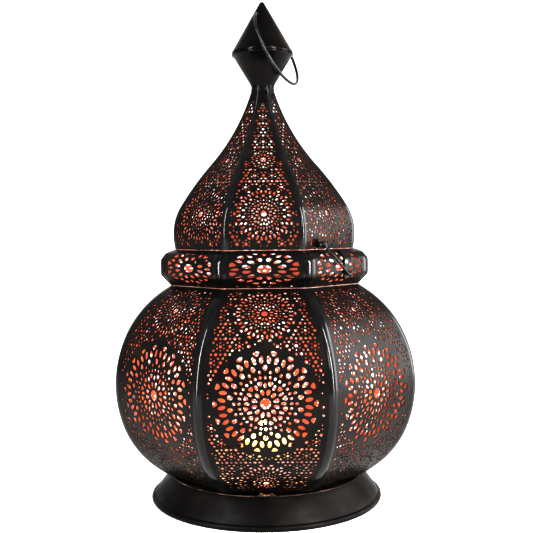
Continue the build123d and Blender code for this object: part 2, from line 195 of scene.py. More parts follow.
class Outline:
    """A side view as a curve measured by its own length, from the bottom up."""

    def __init__(self, points):
        self.points = np.array(points, float)
        steps = np.linalg.norm(np.diff(self.points, axis=0), axis=1)
        keep = np.r_[True, steps > 1e-6]
        self.points = self.points[keep]
        steps = np.linalg.norm(np.diff(self.points, axis=0), axis=1)
        self.lengths = np.r_[0, np.cumsum(steps)]
        self.total = self.lengths[-1]
        tangents = np.gradient(self.points, self.lengths, axis=0)
        tangents /= np.linalg.norm(tangents, axis=1)[:, None]
        self.normals = np.c_[tangents[:, 1], -tangents[:, 0]]

    def at(self, v, depth=0.0):
        """(apothem, height) at length v, sunk below the outside by depth."""
        v = np.asarray(v, float)
        place = np.c_[[np.interp(v, self.lengths, self.points[:, k]) for k in (0, 1)]].T
        return place - self.normal(v) * depth

    def normal(self, v):
        """Outward direction at length v."""
        out = np.c_[[np.interp(v, self.lengths, self.normals[:, k]) for k in (0, 1)]].T
        return out / np.linalg.norm(out, axis=-1)[..., None]

    def half_width(self, v):
        """Distance from a facet's middle to its corner at length v."""
        return np.interp(v, self.lengths, self.points[:, 0]) * math.tan(HALF_FACET)

    def narrowing(self, v):
        """1 on a broad facet, less where the facet runs to a point."""
        return np.minimum(1.0, self.half_width(v) / NARROW_FACET)

    def length_at_height(self, height):
        """Length v at which the curve reaches a height."""
        return float(np.interp(height, self.points[:, 1], self.lengths))


def body_outline():
    low = (BELLY_ARC[0], BELLY[1] - BELLY_ARC[1])
    inset = BELLY[0] - BELLY_ARC[0]
    radius = (inset**2 + BELLY_ARC[1] ** 2) / (2 * inset)
    leaning = math.asin(BELLY_ARC[1] / radius)
    upwards = (math.sin(leaning), math.cos(leaning))
    belly = tangent_arc(low, (low[0], BELLY[1] + BELLY_ARC[1]), upwards)
    lower = tangent_arc(low, BODY_BOTTOM, (-upwards[0], -upwards[1]))
    upper = tangent_arc(belly[-1], BODY_TOP, heading_at_end(belly))
    return Outline(lower[::-1] + belly + upper)


def collar_outline():
    corners = [
        BODY_TOP,
        (COLLAR_FACE[0], COLLAR_FACE[1]),
        (COLLAR_FACE[0], COLLAR_FACE[2]),
        COLLAR_SHOULDER,
        COLLAR_TOP,
    ]
    return Outline(rounded_polyline(corners, COLLAR_ROUNDING))


def dome_outline():
    foot = tangent_arc(DOME_SHOULDER, DOME_BOTTOM, (0, -1), 10)
    shoulder = tangent_arc(DOME_SHOULDER, DOME_SHOULDER_END, (0, 1))
    slope = tangent_arc(DOME_SHOULDER_END, DOME_SLOPE_END, heading_at_end(shoulder))
    sweep = tangent_arc(DOME_SLOPE_END, NECK, heading_at_end(slope))
    return Outline(foot[::-1] + shoulder + slope + sweep)


# =====================================================================
# Hole shapes, as rings of (u, v) points round their own centre
# =====================================================================
def oval(length, width, count):
    """An ellipse whose long axis points up, drawn anticlockwise as every hole has to be."""
    angles = [2 * math.pi * k / count for k in range(count)]
    return np.array([(-width / 2 * math.sin(a), length / 2 * math.cos(a)) for a in angles])


def petal(length, width, count):
    """An oval that is fuller towards its outer end."""
    ring = oval(length, width, count)
    ring[:, 0] *= 1 + 0.45 * ring[:, 1] / length
    return ring


def wedge(length, width, count):
    """A rounded triangle with its broad side outwards."""
    ring = []
    for k in range(count):
        angle = 2 * math.pi * k / count
        swell = 1 + 0.16 * math.cos(3 * angle)
        ring.append((swell * math.sin(angle) * width / 2, -swell * math.cos(angle) * length / 2))
    return np.array(ring)


def place(ring, radius, turn_degrees, lean_degrees=0.0):
    """Moves a hole out along its spoke; the spoke at 0 degrees points up."""
    turn = math.radians(turn_degrees)
    own = turn + math.radians(lean_degrees)
    spin = np.array([[math.cos(own), -math.sin(own)], [math.sin(own), math.cos(own)]])
    centre = radius * np.array([math.sin(turn), math.cos(turn)])
    return ring @ spin + centre


def rosette(scale, rings="all", fullness=0.91):
    """The flower-like figure: a round eye and rings of petals, wedges and ovals."""
    fine = scale > 0.8
    many, some, few = (18, 14, 12) if fine else (12, 10, 8)
    tear = petal(4.2, 2.7, some) * fullness
    slim = oval(4.0, 2.2, some) * fullness
    inner_wedge = wedge(3.3, 3.3, some) * fullness
    holes = [oval(6.9, 6.9, 28 if fine else 18)]
    for k in range(12):
        holes.append(place(tear, 7.1, 30 * k + 15))
        holes.append(place(slim, 11.4, 30 * k))
        holes.append(place(inner_wedge, 12.8, 30 * k + 15))
    if rings == "inner":
        return [hole * scale for hole in holes]
    bead = oval(2.4, 1.9, few) * fullness
    drop = oval(2.6, 2.0, few) * fullness
    leaf = petal(4.2, 3.2, some) * fullness
    ray = oval(5.6, 2.9, many) * fullness
    outer_wedge = wedge(3.3, 4.3, some) * fullness
    for k in range(32):
        holes.append(place(bead, 16.4, 11.25 * k))
    for k in range(18):
        holes.append(place(drop, 19.7, 20 * k + 10))
        holes.append(place(leaf, 22.3, 20 * k))
        holes.append(place(ray, 27.4, 20 * k + 5, -11))
        holes.append(place(ray, 27.4, 20 * k - 5, 11))
        holes.append(place(outer_wedge, 31.7, 20 * k + 10))
    return [hole * scale for hole in holes]


def lattice_dots(low, high, phase):
    """Round holes of a star lattice as (u, v, radius): flowers set in a net of hexagons."""
    step = LATTICE_PITCH
    row_height = step * math.sqrt(3) / 2
    dots = []
    first_row = math.floor((low - phase[1]) / row_height) - 1
    last_row = math.ceil((high - phase[1]) / row_height) + 1
    for row in range(first_row, last_row + 1):
        for column in range(-LATTICE_REACH, LATTICE_REACH + 1):
            centre = np.array([phase[0] + (column + row % 2 / 2) * step, phase[1] + row * row_height])
            dots.append((centre[0], centre[1], BIG_DOT))
            half_column = 2 * column + row % 2
            is_flower = row % 2 == 0 and (half_column + row) % 4 == 0
            if is_flower:
                for k in range(6):
                    angle = math.radians(60 * k + 30)
                    u = centre[0] + FLOWER_RADIUS * math.cos(angle)
                    v = centre[1] + FLOWER_RADIUS * math.sin(angle)
                    dots.append((u, v, LITTLE_DOT))
                continue
            for k in range(3):
                angle = math.radians(60 * k)
                far_half_column = half_column + (2, 1, -1)[k]
                far_row = row + (0, 1, 1)[k]
                if far_row % 2 == 0 and (far_half_column + far_row) % 4 == 0:
                    continue
                middle = centre + step / 2 * np.array([math.cos(angle), math.sin(angle)])
                dots.append((middle[0], middle[1], MIDDLE_DOT))
    return dots


def fill_with_lattice(outline, holes, keep_out, margin, end_margin, phase, fullness=1.0):
    """Adds the lattice wherever it is clear of the rosettes and the facet's edges."""
    rings = []
    for u, v, radius in lattice_dots(0, outline.total, phase):
        radius *= fullness
        if v < end_margin + radius or v > outline.total - end_margin - radius:
            continue
        if abs(u) + radius > outline.half_width(v) - margin * outline.narrowing(v):
            continue
        if any(math.hypot(u, v - centre) < reach + radius for centre, reach in keep_out):
            continue
        rings.append(oval(2 * radius, 2 * radius, 10 if radius > 1 else 8) + (u, v))
    return holes + rings


# =====================================================================
# Meshes
# =====================================================================
def new_object(name, verts, faces, materials, face_materials=None):
    """A mesh object in metres from points in millimetres."""
    mesh = bpy.data.meshes.new(name)
    mesh.from_pydata([tuple(v) for v in np.asarray(verts) * MM], [], [tuple(map(int, f)) for f in faces])
    for material in materials:
        mesh.materials.append(material)
    if face_materials is not None:
        mesh.polygons.foreach_set("material_index", np.asarray(face_materials, np.int32))
    mesh.polygons.foreach_set("use_smooth", np.full(len(mesh.polygons), True))
    mesh.update()
    obj = bpy.data.objects.new(name, mesh)
    bpy.context.scene.collection.objects.link(obj)
    return obj


def facet_turn(number):
    """Turns a piece that faces +X on to a facet."""
    return Matrix.Rotation(math.radians(-90 + (number - 1) * 360 / SIDES), 4, "Z")


def pierced_sheet(name, outline, holes, materials):
    """A bent facet of sheet with real holes, facing +X, ready to be turned into place."""
    rows = max(2, round(outline.total / SEGMENT))
    side_v = np.linspace(0, outline.total, rows + 1)
    side_u = outline.half_width(side_v) - CORNER_TRIM * outline.narrowing(side_v)
    across = max(4, round(2 * side_u[0] / 3))
    top_across = max(2, round(2 * side_u[-1] / 3))
    border = [(u, 0) for u in np.linspace(-side_u[0], side_u[0], across + 1)[:-1]]
    border += list(zip(side_u[:-1], side_v[:-1]))
    border += [(u, outline.total) for u in np.linspace(side_u[-1], -side_u[-1], top_across + 1)[:-1]]
    border += list(zip(-side_u[:0:-1], side_v[:0:-1]))
    points = [np.array(border)]
    loops = [list(range(len(border)))]
    count = len(border)
    for hole in holes:
        points.append(hole)
        loops.append(list(range(count, count + len(hole))))
        count += len(hole)
    centres = np.array([hole.mean(0) for hole in holes])
    reaches = np.array([np.linalg.norm(hole - hole.mean(0), axis=1).max() for hole in holes])
    extra = []
    for v in np.arange(SEGMENT, outline.total - SEGMENT / 2, 2 * SEGMENT):
        half = float(outline.half_width(v) - CORNER_TRIM * outline.narrowing(v))
        for u in np.linspace(-half, half, max(3, round(2 * half / (3 * SEGMENT))))[1:-1]:
            near = np.linalg.norm(centres - (u, v), axis=1) < reaches + HOLE_CLEARANCE
            if not np.any(near):
                extra.append((u, v))
    points.append(np.array(extra))
    flat = np.vstack(points)
    result = delaunay_2d_cdt([Vector(p) for p in flat], [], loops, 1, 1e-5, True)
    verts2d, triangles, face_ids = result[0], result[2], result[5]
    uv = np.array([tuple(v) for v in verts2d])
    # A triangle in a hole carries that hole's number too; one outside the border fails the width test.
    solid = np.array([tri for tri, ids in zip(triangles, face_ids) if all(i == 0 for i in ids)])
    middle_u, middle_v = uv[solid].mean(axis=1).T
    solid = solid[np.abs(middle_u) < np.interp(middle_v, side_v, side_u)]
    return bent_solid(name, outline, uv, solid, materials)


def bent_solid(name, outline, uv, triangles, materials):
    """Bends a flat triangulation round the outline and gives it the sheet's thickness."""
    count = len(uv)
    normal = outline.normal(uv[:, 1])
    outside = outline.at(uv[:, 1])
    inside = outline.at(uv[:, 1], SHEET)
    shrink = inside[:, 0] / outside[:, 0]
    outer = np.c_[outside[:, 0], uv[:, 0], outside[:, 1]]
    inner = np.c_[inside[:, 0], uv[:, 0] * shrink, inside[:, 1]]
    used = {}
    for a, b, c in triangles:
        for edge in ((a, b), (b, c), (c, a)):
            used[edge] = used.get(edge, 0) + 1
    rims = [edge for edge in used if (edge[1], edge[0]) not in used]
    walls = [(b, a, a + count, b + count) for a, b in rims]
    faces = [tuple(t) for t in triangles] + [tuple(c + count for c in t[::-1]) for t in triangles] + walls
    kinds = [0] * len(triangles) + [1] * len(triangles) + [0] * len(walls)
    obj = new_object(name, np.vstack([outer, inner]), faces, materials, kinds)
    out = np.c_[normal[:, 0], np.zeros(count), normal[:, 1]]
    loop_normals = []
    for face, polygon in zip(faces, obj.data.polygons):
        if len(face) == 4:
            loop_normals += [tuple(polygon.normal)] * 4
        else:
            for corner in face:
                loop_normals.append(tuple(out[corner] if corner < count else -out[corner - count]))
    obj.data.normals_split_custom_set(loop_normals)
    return obj


def turned_copies(template, base_name, body):
    """One copy of a facet on each side of the lantern, standing for the CAD facet there."""
    for number in range(1, SIDES + 1):
        copy = template.copy()
        copy.data = template.data.copy()
        copy.data.transform(facet_turn(number))
        copy.name = f"{base_name}_{number}_pierced"
        bpy.context.scene.collection.objects.link(copy)
        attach(copy, body)
        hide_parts(f"{base_name}_{number}")
    bpy.data.objects.remove(template)


def tube(name, path, radius, material, sides, closed=False):
    """A round bar along 3-D points in millimetres, with a smooth skin and closed ends."""
    path = np.array(path, float)
    count = len(path)
    if closed:
        tangents = np.roll(path, -1, 0) - np.roll(path, 1, 0)
    else:
        tangents = np.gradient(path, axis=0)
    tangents /= np.linalg.norm(tangents, axis=1)[:, None]
    side = np.cross(tangents[0], (0.3, 0.2, 0.93))
    side /= np.linalg.norm(side)
    rings = []
    radii = np.broadcast_to(radius, (count,))
    for k in range(count):
        side = side - tangents[k] * (side @ tangents[k])
        side /= np.linalg.norm(side)
        up = np.cross(tangents[k], side)
        for j in range(sides):
            angle = 2 * math.pi * j / sides
            rings.append(path[k] + radii[k] * (math.cos(angle) * side + math.sin(angle) * up))
    faces = []
    spans = count if closed else count - 1
    for k in range(spans):
        near, far = k * sides, (k + 1) % count * sides
        for j in range(sides):
            nxt = (j + 1) % sides
            faces.append((near + j, near + nxt, far + nxt, far + j))
    if not closed:
        faces.append(tuple(range(sides))[::-1])
        faces.append(tuple(range((count - 1) * sides, count * sides)))
    return new_object(name, rings, faces, [material])


def lathe(name, profile, materials, steps):
    """A closed side view of (radius, height) points turned about the lantern's axis."""
    profile = np.array(profile, float)
    count = len(profile)
    verts = []
    for k in range(steps):
        angle = 2 * math.pi * k / steps
        for radius, height in profile:
            verts.append((radius * math.cos(angle), radius * math.sin(angle), height))
    faces = []
    for k in range(steps):
        near, far = k * count, (k + 1) % steps * count
        for j in range(count):
            nxt = (j + 1) % count
            if profile[j, 0] < 1e-6 and profile[nxt, 0] < 1e-6:
                continue
            faces.append((near + j, far + j, far + nxt, near + nxt))
    obj = new_object(name, verts, faces, materials)
    weld(obj)
    return obj


def weld(obj):
    """Joins points that coincide, drops collapsed faces and turns every face outwards."""
    mesh = bmesh.new()
    mesh.from_mesh(obj.data)
    bmesh.ops.remove_doubles(mesh, verts=mesh.verts, dist=1e-6)
    bmesh.ops.dissolve_degenerate(mesh, dist=1e-7, edges=mesh.edges)
    bmesh.ops.recalc_face_normals(mesh, faces=mesh.faces)
    mesh.to_mesh(obj.data)
    mesh.free()


def sharpen(obj, degrees):
    """Keeps the hard edges of a turned or folded piece hard."""
    obj.data.polygons.foreach_set("use_smooth", [True] * len(obj.data.polygons))
    obj.data.set_sharp_from_angle(angle=math.radians(degrees))


# =====================================================================
# Materials
# =====================================================================
class Shader:
    """A Principled material with short calls for the nodes that feed it."""

    def __init__(self, name, **sockets):
        self.material = bpy.data.materials.new(name)
        self.material.use_nodes = True
        self.tree = self.material.node_tree
        self.main = self.tree.nodes["Principled BSDF"]
        for socket, value in sockets.items():
            self.main.inputs[socket.replace("_", " ")].default_value = value
        self.place = self.node("ShaderNodeTexCoord").outputs["Object"]

    def node(self, kind, **settings):
        made = self.tree.nodes.new(kind)
        for key, value in settings.items():
            setattr(made, key, value)
        return made

    def link(self, start, end):
        self.tree.links.new(start, end)

    def noise(self, scale, detail=3.0, roughness=0.55, stretch=None):
        made = self.node("ShaderNodeTexNoise")
        made.inputs["Scale"].default_value = scale
        made.inputs["Detail"].default_value = detail
        made.inputs["Roughness"].default_value = roughness
        source = self.place
        if stretch:
            mapping = self.node("ShaderNodeMapping")
            mapping.inputs["Scale"].default_value = stretch
            self.link(source, mapping.inputs["Vector"])
            source = mapping.outputs["Vector"]
        self.link(source, made.inputs["Vector"])
        return made.outputs["Fac"]

    def ramp(self, source, stops):
        made = self.node("ShaderNodeValToRGB")
        elements = made.color_ramp.elements
        while len(elements) < len(stops):
            elements.new(0.5)
        for element, (position, colour) in zip(elements, stops):
            element.position = position
            element.color = (*colour, 1)
        self.link(source, made.inputs["Fac"])
        return made.outputs["Color"]

    def spread(self, source, low, high, start=0.0, end=1.0):
        made = self.node("ShaderNodeMapRange")
        for key, value in zip(("From Min", "From Max", "To Min", "To Max"), (start, end, low, high)):
            made.inputs[key].default_value = value
        self.link(source, made.inputs["Value"])
        return made.outputs["Result"]

    def bump(self, source, strength, distance):
        made = self.node("ShaderNodeBump")
        made.inputs["Strength"].default_value = strength
        made.inputs["Distance"].default_value = distance
        self.link(source, made.inputs["Height"])
        if self.main.inputs["Normal"].links:
            self.link(self.main.inputs["Normal"].links[0].from_socket, made.inputs["Normal"])
        self.link(made.outputs["Normal"], self.main.inputs["Normal"])

    def set(self, socket, source):
        self.link(source, self.main.inputs[socket])


def black_enamel():
    """Satin black enamel with faint brown patches, for the pierced panels."""
    shader = Shader("black_enamel", Specular_IOR_Level=0.13)
    patches = shader.noise(22, 5)
    stops = [
        (0.3, (0.0022, 0.002, 0.0019)),
        (0.58, (0.005, 0.0038, 0.0032)),
        (0.8, (0.017, 0.0105, 0.007)),
    ]
    shader.set("Base Color", shader.ramp(patches, stops))
    shader.set("Roughness", shader.spread(shader.noise(90, 5), 0.28, 0.44, 0.3, 0.7))
    shader.bump(shader.noise(260, 3), 0.12, 0.0004)
    shader.bump(shader.noise(1500, 2), 0.1, 0.0001)
    return shader.material


def seam_enamel():
    """The slicker enamel on the rolled folds, which catch the strip lights."""
    shader = Shader("seam_enamel", Specular_IOR_Level=0.26)
    patches = shader.noise(60, 4)
    stops = [
        (0.35, (0.003, 0.003, 0.003)),
        (0.75, (0.007, 0.006, 0.006)),
    ]
    shader.set("Base Color", shader.ramp(patches, stops))
    shader.set("Roughness", shader.spread(shader.noise(140, 4), 0.10, 0.20, 0.3, 0.7))
    shader.bump(shader.noise(190, 3), 0.16, 0.0005)
    return shader.material


def gloss_enamel():
    """The smoother, shinier black of the finial."""
    shader = Shader("gloss_enamel", Specular_IOR_Level=0.1)
    patches = shader.noise(26, 5)
    stops = [
        (0.3, (0.0016, 0.0015, 0.0015)),
        (0.6, (0.0035, 0.0027, 0.0023)),
        (0.8, (0.010, 0.0065, 0.0045)),
    ]
    shader.set("Base Color", shader.ramp(patches, stops))
    shader.set("Roughness", shader.spread(shader.noise(45, 5), 0.14, 0.3, 0.3, 0.7))
    shader.bump(shader.noise(60, 4), 0.14, 0.0008)
    shader.bump(shader.noise(900, 2), 0.06, 0.0001)
    return shader.material


def foot_enamel():
    """The duller, browner black of the spun foot, with handling marks."""
    shader = Shader("foot_enamel", Specular_IOR_Level=0.09)
    patches = shader.noise(17, 6, 0.62, stretch=(1, 1, 2.5))
    stops = [
        (0.32, (0.0012, 0.0011, 0.0011)),
        (0.55, (0.0038, 0.0030, 0.0025)),
        (0.75, (0.013, 0.0092, 0.0068)),
    ]
    shader.set("Base Color", shader.ramp(patches, stops))
    shader.set("Roughness", shader.spread(shader.noise(60, 5), 0.34, 0.55, 0.3, 0.7))
    shader.bump(shader.noise(48, 4), 0.2, 0.0009)
    shader.bump(shader.noise(700, 3), 0.12, 0.0002)
    return shader.material


def ember_paint():
    """Orange paint on the inside of the sheet."""
    shader = Shader("ember_paint", Specular_IOR_Level=0.35)
    patches = shader.noise(40, 4)
    stops = [
        (0.3, (0.44, 0.135, 0.082)),
        (0.6, (0.60, 0.240, 0.145)),
        (0.85, (0.74, 0.38, 0.245)),
    ]
    shader.set("Base Color", shader.ramp(patches, stops))
    shader.set("Roughness", shader.spread(shader.noise(120, 4), 0.42, 0.68, 0.3, 0.7))
    shader.bump(shader.noise(500, 3), 0.15, 0.0003)
    return shader.material


def copper_edge():
    """Bare copper-coloured edges of the collar, tarnished in places."""
    shader = Shader("copper_edge", Metallic=0.5, Specular_IOR_Level=0.5)
    patches = shader.noise(160, 4)
    stops = [
        (0.32, (0.07, 0.034, 0.027)),
        (0.55, (0.25, 0.15, 0.125)),
        (0.8, (0.52, 0.36, 0.32)),
    ]
    shader.set("Base Color", shader.ramp(patches, stops))
    shader.set("Roughness", shader.spread(shader.noise(300, 4), 0.3, 0.6, 0.3, 0.7))
    shader.bump(shader.noise(900, 3), 0.3, 0.0002)
    return shader.material


def scraped_enamel():
    """Black enamel rubbed through to copper-coloured metal in patches."""
    shader = Shader("scraped_enamel", Specular_IOR_Level=0.3)
    patches = shader.noise(75, 6, 0.7)
    stops = [
        (0.48, (0.003, 0.0025, 0.0023)),
        (0.58, (0.09, 0.05, 0.035)),
        (0.72, (0.30, 0.19, 0.15)),
    ]
    shader.set("Base Color", shader.ramp(patches, stops))
    shader.set("Roughness", shader.spread(shader.noise(220, 4), 0.4, 0.7, 0.3, 0.7))
    shader.bump(shader.noise(500, 4), 0.4, 0.0003)
    return shader.material


def black_wire():
    """Smooth black lacquer of the ring and hook."""
    shader = Shader("black_wire", Specular_IOR_Level=0.32)
    stops = [
        (0.35, (0.003, 0.003, 0.003)),
        (0.8, (0.012, 0.01, 0.009)),
    ]
    shader.set("Base Color", shader.ramp(shader.noise(120, 4), stops))
    shader.set("Roughness", shader.spread(shader.noise(260, 4), 0.1, 0.24, 0.3, 0.7))
    shader.bump(shader.noise(600, 3), 0.2, 0.0002)
    return shader.material


def worn_steel():
    """Scuffed bare steel of pins and rivets."""
    shader = Shader("worn_steel", Metallic=1.0)
    stops = [
        (0.35, (0.16, 0.15, 0.14)),
        (0.65, (0.48, 0.47, 0.45)),
    ]
    shader.set("Base Color", shader.ramp(shader.noise(420, 5), stops))
    shader.set("Roughness", shader.spread(shader.noise(700, 4), 0.22, 0.48, 0.3, 0.7))
    shader.bump(shader.noise(1800, 2), 0.2, 0.0001)
    return shader.material


def pale_zinc():
    """Dull plated sheet of the floor plate and candle cup."""
    shader = Shader("pale_zinc", Metallic=0.25, Specular_IOR_Level=0.4)
    stops = [
        (0.3, (0.62, 0.50, 0.44)),
        (0.7, (0.86, 0.76, 0.70)),
    ]
    shader.set("Base Color", shader.ramp(shader.noise(55, 5), stops))
    shader.set("Roughness", shader.spread(shader.noise(150, 4), 0.35, 0.6, 0.3, 0.7))
    shader.bump(shader.noise(400, 3), 0.2, 0.0003)
    return shader.material


def candle_wax():
    """Translucent wax with painted light: its emission makes it shine by itself, most strongly near the
    flame.
    """
    shader = Shader(
        "candle_wax",
        Subsurface_Weight=0.6,
        Subsurface_Scale=0.012,
        Roughness=0.35,
        Emission_Strength=0.2,
    )
    shader.main.inputs["Subsurface Radius"].default_value = (1.0, 0.55, 0.25)
    stops = [
        (0.3, (0.92, 0.78, 0.42)),
        (0.7, (0.97, 0.88, 0.58)),
    ]
    shader.set("Base Color", shader.ramp(shader.noise(120, 3), stops))
    # Painted light: the emission colour follows height, from dull orange at the wax's foot to pale yellow
    # at its top, at strength 0.2. It stands in for flame light passing through the wax.
    height = shader.node("ShaderNodeSeparateXYZ")
    shader.link(shader.place, height.inputs[0])
    painted_glow = shader.spread(height.outputs["Z"], 0.0, 1.0, (CANDLE_BASE - 3) * MM, (CANDLE_TOP + 0.7) * MM)
    stops = [
        (0.0, (0.45, 0.16, 0.03)),
        (0.5, (1.0, 0.62, 0.18)),
        (1.0, (1.0, 0.82, 0.38)),
    ]
    shader.set("Emission Color", shader.ramp(painted_glow, stops))
    shader.bump(shader.noise(300, 3), 0.1, 0.0003)
    return shader.material


def charred_cotton():
    """Burnt wick."""
    shader = Shader("charred_cotton", Roughness=0.9)
    stops = [
        (0.3, (0.01, 0.008, 0.007)),
        (0.8, (0.09, 0.06, 0.045)),
    ]
    shader.set("Base Color", shader.ramp(shader.noise(900, 4), stops))
    shader.bump(shader.noise(2500, 2, stretch=(1, 1, 0.4)), 0.6, 0.0003)
    return shader.material


def flame_light():
    """Glowing flame, orange at its foot and tip and yellow between."""
    shader = Shader("flame_light", Roughness=1.0, Emission_Strength=14.0)
    shader.main.inputs["Base Color"].default_value = (1.0, 0.6, 0.2, 1)
    height = shader.node("ShaderNodeSeparateXYZ")
    shader.link(shader.place, height.inputs[0])
    rise = shader.spread(height.outputs["Z"], 0.0, 1.0, FLAME_BASE * MM, (FLAME_BASE + 15) * MM)
    stops = [
        (0.0, (1.0, 0.42, 0.1)),
        (0.25, (1.0, 0.82, 0.45)),
        (0.7, (1.0, 0.72, 0.28)),
        (1.0, (1.0, 0.35, 0.06)),
    ]
    shader.set("Emission Color", shader.ramp(rise, stops))
    return shader.material


def pale_floor():
    """Plain pale studio floor."""
    shader = Shader("pale_floor", Specular_IOR_Level=0.25)
    stops = [
        (0.3, (0.86, 0.855, 0.845)),
        (0.8, (0.89, 0.885, 0.875)),
    ]
    shader.set("Base Color", shader.ramp(shader.noise(6, 3), stops))
    shader.set("Roughness", shader.spread(shader.noise(20, 3), 0.55, 0.7))
    return shader.material


ENAMEL, SEAM, EMBER, COPPER = black_enamel(), seam_enamel(), ember_paint(), copper_edge()
SCRAPED, GLOSS, FOOT = scraped_enamel(), gloss_enamel(), foot_enamel()
WIRE, STEEL, ZINC = black_wire(), worn_steel(), pale_zinc()
PAINTED_GLOW_WAX, WICK, FLAME = candle_wax(), charred_cotton(), flame_light()


# =====================================================================
# Skin
# =====================================================================
def shifted(holes, v):
    """Moves a figure up its facet."""
    return [hole + (0, v) for hole in holes]


def build_body(outline):
    """The bulbous body: a large rosette between two small ones on every panel."""
    middle = outline.length_at_height(BODY_ROSETTE)
    upper = outline.length_at_height(BODY_TOP_ROSETTE)
    lower = outline.length_at_height(BODY_LOW_ROSETTE)
    holes = shifted(rosette(1.0), middle)
    holes += shifted(rosette(SMALL_SCALE), upper) + shifted(rosette(SMALL_SCALE), lower)
    keep_out = [(middle, BIG_CLEARANCE), (upper, SMALL_CLEARANCE), (lower, SMALL_CLEARANCE)]
    phase = (-4.1, middle + 36.0)
    holes = fill_with_lattice(outline, holes, keep_out, margin=5.2, end_margin=2.2, phase=phase)
    facet = pierced_sheet("body_facet", outline, holes, [ENAMEL, EMBER])
    turned_copies(facet, "body_panel", "lantern_body")


def build_collar(outline):
    """The C-shaped collar: one wide flower and two rows of beads on every panel."""
    middle = outline.length_at_height(COLLAR_ROSETTE)
    figure = rosette(1.0, "inner", 0.84)
    figure[0] = oval(*COLLAR_EYE, 32)
    holes = []
    for hole in figure:
        squash = np.where(hole[:, 1] < 0, COLLAR_LOWER_SQUASH, COLLAR_UPPER_SQUASH)
        holes.append(np.c_[hole[:, 0] * COLLAR_STRETCH, hole[:, 1] * squash + middle])
    for v, count in ((1.9, 6), (outline.total - 2.0, 7)):
        for k in range(count):
            bead = oval(COLLAR_BEAD, COLLAR_BEAD, 10)
            holes.append(bead + (COLLAR_BEAD_PITCH * (k - (count - 1) / 2), v))
    facet = pierced_sheet("collar_facet", outline, holes, [ENAMEL, EMBER])
    turned_copies(facet, "collar_panel", "lantern_body")


def build_dome(outline):
    """The dome: a small rosette with the heart of another above it on every panel."""
    middle = outline.length_at_height(DOME_ROSETTE)
    upper = outline.length_at_height(DOME_TOP_ROSETTE)
    holes = shifted(rosette(SMALL_SCALE), middle) + shifted(rosette(SMALL_SCALE, rings="inner"), upper)
    keep_out = [(middle, DOME_CLEARANCE), (upper, DOME_TOP_CLEARANCE)]
    phase = (0.0, middle + 20.6)
    holes = fill_with_lattice(
        outline, holes, keep_out, margin=2.6, end_margin=1.6, phase=phase, fullness=DOME_DOT_FULLNESS
    )
    facet = pierced_sheet("dome_facet", outline, holes, [ENAMEL, EMBER])
    turned_copies(facet, "dome_panel", "lid")


def fold_section(radius):
    """Half of a fold's section as (distance from the corner, depth below the facet), ridge first."""
    reach = radius * math.tan(HALF_FACET)
    section = []
    for k in range(FOLD_STEPS + 1):
        angle = HALF_FACET * (FOLD_STEPS - k) / FOLD_STEPS
        section.append((reach - radius * math.sin(angle), radius * (1 - math.cos(angle)) - FOLD_LIFT))
    edge = max(reach, CORNER_TRIM) + FOLD_BORDER
    return section + [(edge, -0.03), (edge + 0.1, 0.1), (edge, FOLD_SUNK)]


def build_folds(outline, name, body, radius):
    """Eight rounded folds that run down the corners between neighbouring facets, as one piece."""
    lengths = np.linspace(0, outline.total, max(8, round(outline.total / FOLD_SEGMENT)))
    half = fold_section(radius)
    ring = [(1, *point) for point in half] + [(-1, *point) for point in half[::-1]]
    count = len(ring)
    verts, faces, kinds = [], [], []
    for number in range(SIDES):
        start = len(verts)
        for v in lengths:
            corner = outline.at([v], -FOLD_LIFT)[0, 0] * math.tan(HALF_FACET)
            size = float(outline.narrowing(v))
            for side, across, depth in ring:
                # The ridge flattens on a narrow facet; the inner edge keeps its depth.
                shallowing = size if depth < FOLD_INNER_DEPTH else 1
                place_a, place_z = outline.at([v], depth * shallowing)[0]
                u = -side * min(place_a * math.tan(HALF_FACET), corner - across * size)
                turn = -math.pi / 2 + (number + 0.5 + side / 2) * 2 * HALF_FACET
                x, y = math.cos(turn), math.sin(turn)
                verts.append((place_a * x - u * y, place_a * y + u * x, place_z))
        for k in range(len(lengths) - 1):
            for j in range(count):
                nxt = (j + 1) % count
                low, high = start + k * count, start + (k + 1) * count
                faces.append((low + j, high + j, high + nxt, low + nxt))
                kinds.append(1 if j == count // 2 - 1 else 0)
        faces.append(tuple(range(start, start + count)))
        faces.append(tuple(range(start + (len(lengths) - 1) * count, start + len(lengths) * count))[::-1])
        kinds += [0, 0]
    folds = new_object(f"{name}_folded", verts, faces, [SEAM, EMBER], kinds)
    weld(folds)
    folds.data.set_sharp_from_angle(angle=math.radians(40))
    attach(folds, body)
    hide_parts(name)


body, collar, dome = body_outline(), collar_outline(), dome_outline()
build_body(body)
build_collar(collar)
build_dome(dome)
build_folds(body, "body_seams", "lantern_body", BODY_FOLD)
build_folds(collar, "collar_seams", "lantern_body", COLLAR_FOLD)
build_folds(dome, "dome_seams", "lid", DOME_FOLD)


# =====================================================================
# Copper-coloured raw edges where the collar meets the body and the lid
# =====================================================================
def octagon_lip(name, apothem, height, thickness, body_name):
    """A thin eight-sided line of bare edge."""
    corner = apothem / math.cos(HALF_FACET)
    path = []
    for number in range(SIDES):
        start = -math.pi / 2 + (number - 0.5) * 2 * HALF_FACET
        end = start + 2 * HALF_FACET
        a = np.array([math.cos(start), math.sin(start)]) * corner
        b = np.array([math.cos(end), math.sin(end)]) * corner
        for k in range(8):
            point = a + (b - a) * k / 8
            path.append((point[0], point[1], height))
    lip = tube(name, path, thickness / 2, COPPER, closed=True, sides=8)
    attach(lip, body_name)


octagon_lip("collar_lower_edge", BODY_TOP[0] + 0.15, BODY_TOP[1] + 0.1, 0.7, "lantern_body")
octagon_lip("collar_upper_edge", COLLAR_TOP[0] + 0.35, COLLAR_TOP[1] - 0.25, 0.6, "lantern_body")


